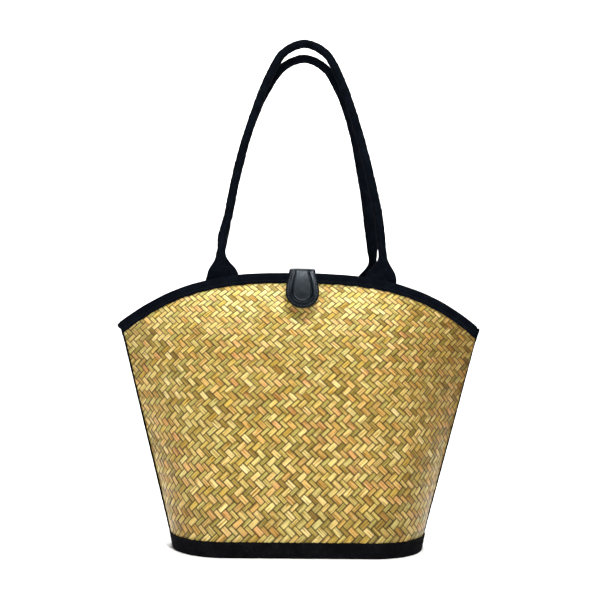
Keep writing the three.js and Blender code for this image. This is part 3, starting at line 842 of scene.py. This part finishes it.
def band_place(u, v, w):
    run = u * 2 * HALF_BAND
    back = run > HALF_BAND
    share = interp(where(back, 2 * HALF_BAND - run, run), band_run, band_shares)
    key = v * (len(SECTION) - 1)
    inner_z, inner, outer_z, outer = (interp(key, arange(len(SECTION)), n) for n in SECTION.T)
    out = inner * (1 - w) + outer * w
    upright = clamp(1 - (key - 5.5))
    rib = np.abs(cos(u * RIBS * pi)) ** 0.6
    out = out + w * upright * (RIB_SWELL * rib - RIB_SINK)
    z = inner_z * (1 - w) + outer_z * w
    z = z + where(key < 1, 0.18 * sin(run * 0.9) + 0.12 * sin(run * 0.171), 0)
    z = clip(z, 0.0, None)
    points = on_wall(share, clip(up_at_height(share, z), 0.0, None), out)
    points[:, 2] = z
    points[:, 1] *= where(back, -1, 1)
    return points


cloth = slab(RIBS * 4, 27, band_place, 2 * HALF_BAND, 26.0)
finished("webbing_foot", cloth, webbing, replaces=("foot_band",), crease=75)

# %% [markdown]
# ## Handles
# Each handle is a cloth tube with a padded core. At its ends the core stops and the cloth opens out
# flat, like a hoof, and is sewn inside the rim. A smooth curve runs through a short list of places,
# each with a width and a thickness, and the section turns from a flat strap to a round tube.

# %% The handle's middle line
HANDLE_SPACING, HANDLE_RISE = 182.0, 288.0
BACK_HANDLE_SHORTER, BACK_HANDLE_ASIDE = 13.0, 6.0
HANDLE_LEAN, ASIDE_FADE = 1.5, 1.5  # mm, and the power by which an offset fades upwards
HANDLE_WIDTH, HANDLE_THICK, HANDLE_STANDOFF = 10.4, 9.4, 6.5
FLARE_WIDTH, FLARE_HEIGHT, PATCH_DEPTH, PATCH_THICK = 38.0, 28.0, 36.0, 2.2
PATCH_GAP = STRAW / 2 + 0.15 + BINDING + 0.35
PATCH_MIDDLE = -(PATCH_GAP + PATCH_THICK / 2)
# the back handle's right half is pressed flatter: where, as shares of the way up, and how much
PRESS_AT, PRESS_SPREAD, PRESS_OUT, PRESS_WIDER, PRESS_THINNER = 0.27, 0.35, 2.2, 0.36, 0.2
ARCH = [  # share of the way up; of half the spacing out for the front and the back one; of the lean
    (0.17, 1.014, 0.991, -0.5), (0.265, 0.962, 0.945, 0.8), (0.393, 0.890, 0.887, 0.3),
    (0.521, 0.801, 0.809, 0.0), (0.649, 0.690, 0.725, 0.0), (0.777, 0.562, 0.600, 0.0),
    (0.841, 0.484, 0.517, 0.0), (0.937, 0.337, 0.349, 0.0), (0.969, 0.243, 0.250, 0.0),
    (0.993, 0.112, 0.115, 0.0), (1.0, 0.0, 0.0, 0.0)]
FLARE = [  # share of the flare's height, width and thickness between the tube's 0 and the patch's 1
    (0.14, 0.93, 0.95), (0.38, 0.74, 0.8), (0.62, 0.38, 0.5), (0.82, 0.12, 0.2), (1.0, 0.0, 0.0)]


def home_for(outward):
    """The share across the wall where a handle sewn this much further out has its patch."""
    return (HANDLE_SPACING + 2 * outward) / RIM_SPAN


def handle_stations(rise, outward, lean, front):
    """x, y, z, width, thickness, looseness and height over the rim, from the patch to the top."""
    home, rows = home_for(outward), []
    for down in (PATCH_DEPTH, PATCH_DEPTH * 0.94, PATCH_DEPTH * 0.8, PATCH_DEPTH * 0.5, BINDING_WIDTH,
                 0.0, -2.3):
        wide = FLARE_WIDTH * (0.80 if down == PATCH_DEPTH else 0.95 if down > PATCH_DEPTH * 0.9 else 1)
        rows.append([*beside_rim(home, 0.0, -down, PATCH_MIDDLE), wide, PATCH_THICK, 0.0, -down])
    start = array(rows[-1][:3])
    top = RIM_CENTRE_HEIGHT + rise
    rim_top = rim_point(home)[2]

    def depth(z):
        return mix(start[1], -HANDLE_STANDOFF, (z - start[2]) / (top - start[2]))

    across, _ = wall_slopes(array(home), array(1.0))
    slope = -across[2] / across[0]
    for share, wide, thin in FLARE:
        z = start[2] + share * FLARE_HEIGHT
        x = start[0] + slope * share * FLARE_HEIGHT * (1 - share / 2)
        rows.append([x, depth(z), z, mix(HANDLE_WIDTH, FLARE_WIDTH, wide),
                     mix(HANDLE_THICK, PATCH_THICK, thin), 1.0, 0.0])
    for share, front_out, back_out, leaning in ARCH:
        z = mix(rim_top, top, share)
        x = (HANDLE_SPACING / 2 * (front_out if front else back_out)
             + outward * (1 - share ** ASIDE_FADE) + lean * leaning)
        press = max(0.0, 1 - abs(share - PRESS_AT) / PRESS_SPREAD) if outward < 0 else 0.0
        rows.append([x + PRESS_OUT * press, depth(z), z, HANDLE_WIDTH * (1 + PRESS_WIDER * press),
                     HANDLE_THICK * (1 - PRESS_THINNER * press), 1.0, 0.0])
    return array(rows)


def smooth_rows(rows, per_step):
    """A Catmull-Rom curve through the rows; the last row is the top, so it is mirrored there."""
    beyond = rows[-2].copy()
    beyond[0] *= -1
    padded = vstack([2 * rows[0] - rows[1], rows, beyond])
    steps = np.linalg.norm(np.diff(padded[:, :3], axis=0), axis=1) ** 0.5
    knots = concatenate([[0], np.cumsum(steps)])
    pieces = []
    for n in range(1, len(padded) - 2):
        at, points = knots[n - 1:n + 3], list(padded[n - 1:n + 3])
        t = linspace(at[1], at[2], per_step, endpoint=n == len(padded) - 3)[:, None]
        for starts, ends in (((0, 1, 2), (1, 2, 3)), ((0, 1), (2, 3)), ((1,), (2,))):
            points = [(at[b] - t) / (at[b] - at[a]) * first + (t - at[a]) / (at[b] - at[a]) * second
                      for a, b, first, second in zip(starts, ends, points, points[1:])]
        pieces.append(points[0])
    return vstack(pieces)


# %% The cloth round that line
AROUND, ALONG, SMOOTH = 28, 190, 24  # points round a handle, along half of it, between two places
CLOTH_ROUND = 28.0  # mm round the tube
CREASES, CREASE_HIGH, CROWDING = (0.21, 0.37, 0.63, 0.93), 0.055, 0.045


def handle_mesh(rise, aside, side, seed):
    front = side > 0
    lean = HANDLE_LEAN if front else 0.0
    right = smooth_rows(handle_stations(rise, -aside, lean, front), SMOOTH)
    left = smooth_rows(handle_stations(rise, aside, -lean, front), SMOOTH)[::-1][1:]
    left[:, 0] *= -1
    rows = vstack([right, left])
    run = run_along(rows[:, :3])
    total, turn_run = run[-1], run[len(right) - 1]
    phases = np.random.default_rng(seed).random(6) * ANY_PHASE

    maker = bmesh.new()
    bmesh.ops.create_grid(maker, x_segments=2 * ALONG, y_segments=AROUND, size=0.5)
    shares = grid_shares(maker)

    def at_run(here):
        return stack([interp(here, run, row) for row in rows.T], axis=-1)

    def place(flat):
        u, v = shares(flat)
        # closer points near the flared ends
        u = u + CROWDING * sin(2 * pi * u) * cos(pi * u) ** 2
        here, step = u * total, total * 2 * NUDGE
        data = at_run(here)
        ahead = (at_run(here + step) - at_run(here - step))[:, :3]
        ahead = unit(ahead + array([0, 0, 1e-9]))
        over = unit(cross(np.broadcast_to([0.0, -1.0, 0.0], ahead.shape), ahead))
        square = cross(ahead, over)
        angle = 2 * pi * v
        wide, thick, loose = data[:, 3], data[:, 4], data[:, 5]
        flat_share = clamp((wide - HANDLE_WIDTH) / (FLARE_WIDTH - HANDLE_WIDTH))
        # the section goes from round to a flat box
        a, b = (np.sign(n) * np.abs(n) ** mix(1.0, power, flat_share) * size / 2 for n, power, size in
                ((cos(angle), 0.55, wide), (sin(angle), 0.28, thick)))
        # the cloth is slack over the core: faint creases across it and a ridge along its seam
        on_tube = clamp(1 - flat_share * 3)
        crease = sum(sin(here * k + p + 1.5 * sin(angle + p))
                     for k, p in zip(CREASES, phases)) * CREASE_HIGH
        ridge = 0.5 * hill(v, 0.75, 0.035)
        swell = 1 + (crease * 0.35 + ridge * 0.12) * on_tube
        points = data[:, :3] + over * (a * swell)[:, None] + square * (b * swell)[:, None]
        # below the rim the patch lies along the inside of the wall
        home = where(here > turn_run, home_for(aside), home_for(-aside))
        patch = beside_rim(home, -a, data[:, 6], PATCH_MIDDLE + b)
        patch[:, 0] *= where(here > turn_run, -1.0, 1.0)
        sewn = clamp(1 - loose)[:, None]
        return on_side(patch * sewn + points * (1 - sewn), side)

    mesh = bent(maker, place, sheet_lay(shares, total, CLOTH_ROUND))
    closer = bmesh.new()
    closer.from_mesh(mesh)
    bmesh.ops.remove_doubles(closer, verts=closer.verts[:], dist=0.02 * MM)
    open_edges = [edge for edge in closer.edges if edge.is_boundary]
    bmesh.ops.edgeloop_fill(closer, edges=open_edges)
    bmesh.ops.recalc_face_normals(closer, faces=closer.faces[:])
    closer.to_mesh(mesh)
    closer.free()
    print("handle length along its middle, mm:", round(total))
    return mesh


for side, name, rise, aside in ((1, "front", HANDLE_RISE, 0.0),
                                (-1, "back", HANDLE_RISE - BACK_HANDLE_SHORTER, BACK_HANDLE_ASIDE)):
    mesh = handle_mesh(rise, aside, side, 40 + side)
    handle = finished(f"handle_cloth_{name}", mesh, canvas, replaces=(f"handle_{name}",),
                      crease=60)

# %% [markdown]
# ## The closing tab
# Two layers of leather are sewn back to back round their edge. The tab is sewn to the back wall,
# bridges the open mouth and hangs over the front, where it widens to a round end. A pressed line
# runs inside its stitches. The whole tab is one bent slab, and the press and the seam sink it.

# %% Shape the tab
LEATHER, TAB_FOLD_WIDTH, TAB_WIDEST = 3.0, 30.0, 37.5
TAB_FRONT, TAB_BACK, TAB_CROWN, TAB_LIFT = 43.2, 46.0, 3.0, 6.5
TAB_RISE, TAB_CORNER, TAB_END_ROUND = 1.8, 1.8, 4.0
TAB_OUT = STRAW / 2 + CLEARANCE + BINDING + CLEARANCE
TAB_LOBE = TAB_WIDEST / 2
FOLD_RUN = TAB_OUT * pi / 2
rim_middle = on_wall(0.0, 1.0, 0.0)
BRIDGE = -2 * rim_middle[1]
TAB_RUN = TAB_BACK + FOLD_RUN + BRIDGE + FOLD_RUN + TAB_FRONT
FRONT_START = TAB_RUN - TAB_FRONT
TAB_STRAIGHT = TAB_FRONT - TAB_LOBE


def tab_half(run):
    """Half the tab's width along its length."""
    down = run - FRONT_START
    grow = clamp(down / TAB_STRAIGHT)
    half = mix(TAB_FOLD_WIDTH / 2, TAB_LOBE, sin(grow * pi / 2))
    lobe = clip((down - TAB_STRAIGHT) / TAB_LOBE, 0, 0.9999)
    half = half * sqrt(1 - lobe ** 2)
    return half - TAB_END_ROUND * round_off(clamp(1 - run / TAB_END_ROUND))


def tab_spot(run, x, out):
    """A place on the tab: run from its sewn end, x across it, out from its underside."""
    per = float(up_per_millimetre(array(0.0)))
    radius = TAB_OUT + out
    bridge_from = TAB_BACK + FOLD_RUN
    down_back = clip(TAB_BACK - run, 0, None)
    down_front = clip(run - FRONT_START, 0, None)
    turn_back = clamp((run - TAB_BACK) / FOLD_RUN) * pi / 2
    turn_front = clamp((FRONT_START - run) / FOLD_RUN) * pi / 2
    on_back = run < bridge_from
    turn = where(on_back, turn_back, turn_front)
    down = where(on_back, down_back, down_front)
    lift = where(on_back, 0.0, TAB_LIFT * (down_front / TAB_FRONT) ** 0.75)
    rise = (radius + TAB_RISE) * sin(turn) - down
    points = on_wall(zeros_like(run), 1 + rise * per,
                     radius * cos(turn) + lift * (turn < 1e-6))
    points[:, 1] *= where(on_back, -1, 1)
    middle = (run > bridge_from) & (run < bridge_from + BRIDGE)
    share = clamp((run - bridge_from) / BRIDGE)
    top = on_wall(zeros_like(run), 1 + (radius + TAB_RISE) * per, 0.0)
    bridge = stack([x, mix(-top[:, 1], top[:, 1], share),
                    top[:, 2] + TAB_CROWN * sin(pi * share)], axis=-1)
    points[:, 0] = x
    return where(middle[:, None], bridge, points)


def edge_distance(run, x):
    """Roughly how far a point is from the tab's outline on the front."""
    down = run - FRONT_START
    lobe = TAB_LOBE - hypot(x, down - TAB_STRAIGHT)
    return where(down > TAB_STRAIGHT, lobe, tab_half(run) - np.abs(x))


TAB_INSET, GROOVE_INSET = 2.3, 7.2
BEND, BEND_RADIUS = FRONT_START + TAB_STRAIGHT, TAB_LOBE - TAB_INSET
runs, turns = arange(SEAM_END, BEND, 0.25), linspace(0, pi / 2, 120)
seam_half = vstack([  # half the tab's seam, as places along the tab and across it
    stack([runs, tab_half(runs) - TAB_INSET], axis=-1),
    stack([BEND + BEND_RADIUS * sin(turns), BEND_RADIUS * cos(turns)], axis=-1)])
seam_lengths = run_along(seam_half)
TAB_PITCH = 2 * seam_lengths[-1] / round(2 * seam_lengths[-1] / 3.65)


def along_seam(run, x):
    """How far along the seam the nearest stitch is, from the sewn end to the middle of the lobe."""
    turn = np.arctan2(clip(run - BEND, 0, None), np.abs(x) + 1e-6)
    straight = interp(run, seam_half[:len(runs), 0], seam_lengths[:len(runs)])
    return where(run < BEND, straight, seam_lengths[len(runs)] + BEND_RADIUS * turn)


LOBE_SHARE, LOBE_TURN = 0.24, radians(88.5)


def tab_place(u, v, w):
    # points crowd together towards the round end so that its outline stays smooth
    body = clamp(u / (1 - LOBE_SHARE)) * (TAB_RUN - TAB_LOBE)
    angle = clamp((u - (1 - LOBE_SHARE)) / LOBE_SHARE) * LOBE_TURN
    run = body + TAB_LOBE * sin(angle)
    x = (2 * v - 1) * tab_half(run)
    near = edge_distance(run, x)
    rim = 0.5 - 0.5 * cos(clamp(near / 1.9) * pi)
    outer = LEATHER - 0.85 * (1 - rim)
    seam_dip = (0.60 * pull_at(along_seam(run, x), TAB_PITCH) - 0.22) * hill(near, TAB_INSET, 0.8)
    on_front = clamp((run - FRONT_START + 3) / 4)
    groove = 0.75 * hill(near, GROOVE_INSET, 0.55) - 0.30 * hill(near, GROOVE_INSET + 1.2, 0.6)
    pillow = 0.30 * clamp((near - 3) / 4)
    out = where(w > 0.5, outer - seam_dip - groove * on_front + pillow, 0.25 * (1 - rim))
    # at the fold the leather's corners are rounded off
    from_crest = np.abs(run - (TAB_BACK + FRONT_START) / 2)
    folded = clip(1 - from_crest / (BRIDGE / 2 + FOLD_RUN), 0, 0.2) * 5
    return tab_spot(run, x, out - TAB_CORNER * 0.5 * round_off(clamp(1 - near / 2.2)) * folded)


finished("tab_leather", slab(220, 80, tab_place, TAB_RUN, TAB_WIDEST), leather,
         replaces=("closing_tab",), crease=50)


# %% Sew the tab
def tab_seam():
    path = vstack([seam_half, seam_half[::-1][1:] * [1, -1]])
    lengths = run_along(path)
    at = arange(0, lengths[-1], TAB_PITCH)
    here, ahead = ([interp(at + more, lengths, n) for n in path.T] for more in (0.0, 0.4))
    out = np.full_like(at, LEATHER - 0.50)
    spots = tab_spot(*here, out)
    return spots, tab_spot(*ahead, out) - spots, spots - tab_spot(*here, out - 1.0)


seam("tab_stitches", *tab_seam(), STITCH_LENGTH, TAB_STITCH_THICK, waxed)

# %% The snap keeps its own solid and gets plated metal
snap = bpy.data.objects["snap"]
snap.data.materials.clear()
snap.data.materials.append(nickel)

# %% [markdown]
# ## The picture
# The camera stands where the photographer stood: a little to the left, about as high as the middle
# of the bag. A small bright light above and in front draws the shadows. Weaker, larger ones on the
# left, in front and overhead fill them, and one more lights the pale paper that curves up behind.

# %% Camera
AZIMUTH, PITCH, ROLL = radians(-1.82), radians(6.72), radians(0.86)
PAN = radians(0.093)
DISTANCE, CAMERA_HEIGHT = 0.830, 0.1815
FOCAL_PIXELS, FRAME_PIXELS, SENSOR = 710.1, 600, 36.0
camera_data = bpy.data.cameras.new("camera")
camera_data.sensor_width = SENSOR
camera_data.lens = FOCAL_PIXELS / FRAME_PIXELS * SENSOR
camera_data.clip_start = 0.01
camera = bpy.data.objects.new("camera", camera_data)
COLLECTION.objects.link(camera)
camera.matrix_world = (
    Matrix.Translation((sin(AZIMUTH) * DISTANCE, -cos(AZIMUTH) * DISTANCE, CAMERA_HEIGHT))
    @ Matrix.Rotation(AZIMUTH + PAN, 4, "Z") @ Matrix.Rotation(pi / 2 + PITCH, 4, "X")
    @ Matrix.Rotation(ROLL, 4, "Z"))
bpy.context.scene.camera = camera

# %% Floor and lights
paper = Finish("pale paper", Specular_IOR_Level=0.2)
mottle = paper.grain(30.0, 4.0, 0.5)
paper_white = paper.wear(paper.mix(mottle, (0.94, 0.94, 0.94), (0.97, 0.97, 0.97)), 0.9,
                         paper.bump(mottle, 0.0001, 0.2))
PAPER_FRONT, PAPER_BEND, PAPER_RADIUS, PAPER_TOP, PAPER_WIDTH = -3.0, 1.6, 0.8, 3.2, 6.0  # metres
bend = [(PAPER_BEND + PAPER_RADIUS * sin(a), PAPER_RADIUS - PAPER_RADIUS * cos(a))
        for a in linspace(0.1, pi / 2, 14)]
maker = bmesh.new()
line = [maker.verts.new((-PAPER_WIDTH / 2, y, z)) for y, z in
        [(PAPER_FRONT, 0.0), (PAPER_BEND, 0.0), *bend, (PAPER_BEND + PAPER_RADIUS, PAPER_TOP)]]
edges = [maker.edges.new(pair) for pair in zip(line, line[1:])]
swept = bmesh.ops.extrude_edge_only(maker, edges=edges)["geom"]
bmesh.ops.translate(maker, vec=(PAPER_WIDTH, 0, 0),
                    verts=[v for v in swept if isinstance(v, bmesh.types.BMVert)])
sweep_mesh = bpy.data.meshes.new("paper_sweep")
maker.to_mesh(sweep_mesh)
maker.free()
sweep_mesh.materials.append(paper_white)
sweep_mesh.polygons.foreach_set("use_smooth", np.ones(len(sweep_mesh.polygons), bool))
sweep = bpy.data.objects.new("paper_sweep", sweep_mesh)
COLLECTION.objects.link(sweep)


def soft_light(name, at, towards, size, power, tint=(1.0, 1.0, 1.0)):
    data = bpy.data.lights.new(name, "AREA")
    data.shape, data.size, data.energy, data.color = "SQUARE", size, power, tint
    lamp = bpy.data.objects.new(name, data)
    COLLECTION.objects.link(lamp)
    lamp.location = at
    lamp.rotation_euler = (Vector(towards) - Vector(at)).to_track_quat("-Z", "Y").to_euler()


soft_light("key_above", (0.2, -0.95, 1.95), (0.0, 0.0, 0.2), 0.35, 42.0, (1.0, 0.985, 0.95))
soft_light("fill_left", (-1.5, -1.1, 0.7), (0.0, 0.0, 0.2), 1.2, 6.0)
soft_light("fill_front", (-0.1, -1.8, 1.6), (0.0, 0.0, 0.25), 0.8, 3.2)
soft_light("overhead", (0.0, -0.35, 2.4), (0.0, -0.3, 0.0), 1.6, 8.0)
soft_light("back_wash", (0.0, 1.0, 2.2), (0.0, 1.8, 0.6), 1.5, 85.0)
world = bpy.data.worlds.new("studio")
world.use_nodes = True
sky = world.node_tree.nodes["Background"].inputs
sky["Color"].default_value, sky["Strength"].default_value = (1.0, 1.0, 1.0, 1.0), 0.18
bpy.context.scene.world = world
bpy.context.scene.view_settings.view_transform = "Standard"
